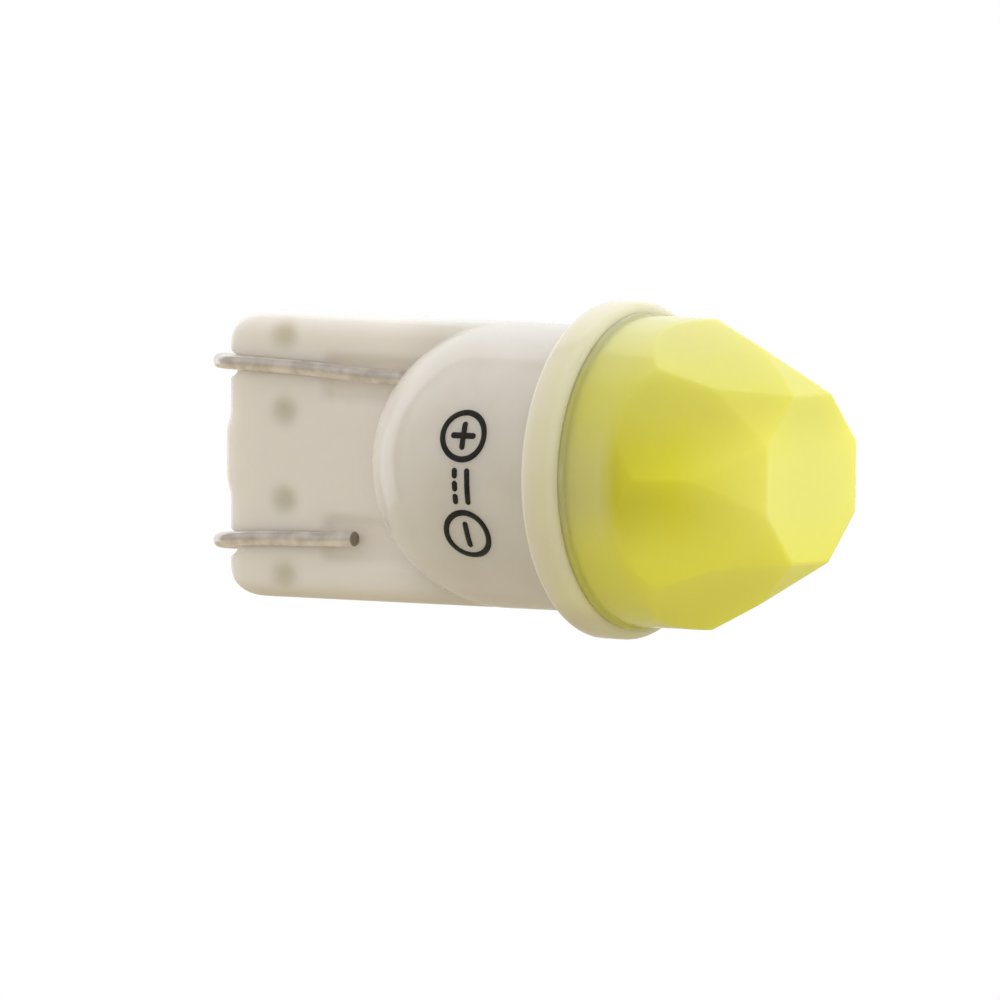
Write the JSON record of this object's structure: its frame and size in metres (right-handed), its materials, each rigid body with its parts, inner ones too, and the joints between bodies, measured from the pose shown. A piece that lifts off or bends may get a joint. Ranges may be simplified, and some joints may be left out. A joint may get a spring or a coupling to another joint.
{
  "type": "wedge base led bulb",
  "caption": "Small wedge base bulb: flat white blade with folded wire leads, domed barrel with a collar, and a faceted translucent yellow lens over a round board with LEDs.",
  "frame": {"origin": "on the bulb's axis, in the plane of the collar's back face, where the bulb seats on its socket", "axes": "+X along the bulb's axis towards the lens, +Z along the blade's width, Y through the blade's thickness"},
  "size_m": [0.022, 0.0107, 0.0106],
  "materials": {
    "housing_plastic": "milky white moulded polycarbonate, semi gloss, slightly translucent",
    "lens_plastic": "translucent yellow moulded silicone, gloss",
    "lead_wire": "tinned copper-clad steel wire, dull",
    "solder": "bright solder",
    "board": "white solder resist on glass-fibre board",
    "led_frame": "white moulded LED package",
    "phosphor": "yellow phosphor in clear silicone",
    "die": "LED die on sapphire",
    "contact": "plated copper lead frame",
    "resistor_ceramic": "glazed black chip resistor on alumina",
    "end_cap": "tinned end cap",
    "diode_epoxy": "black moulding epoxy",
    "tab": "tinned tab"
  },
  "bodies": {
    "root": {"housing": "housing_plastic", "lens": "lens_plastic", "lead_wire_a": "lead_wire", "lead_wire_b": "lead_wire", "circuit_board": "board", "solder_joint_a": "solder", "solder_joint_b": "solder", "diode_body": "diode_epoxy", "diode_tab_a": "tab", "diode_tab_b": "tab", "led_1_frame": "led_frame", "led_1_phosphor": "phosphor", "led_1_die": "die", "led_1_anode": "contact", "led_1_cathode": "contact", "resistor_1_body": "resistor_ceramic", "resistor_1_cap_a": "end_cap", "resistor_1_cap_b": "end_cap", "led_2_frame": "led_frame", "led_2_phosphor": "phosphor", "led_2_die": "die", "led_2_anode": "contact", "led_2_cathode": "contact", "resistor_2_body": "resistor_ceramic", "resistor_2_cap_a": "end_cap", "resistor_2_cap_b": "end_cap"}
  },
  "joints": []
}
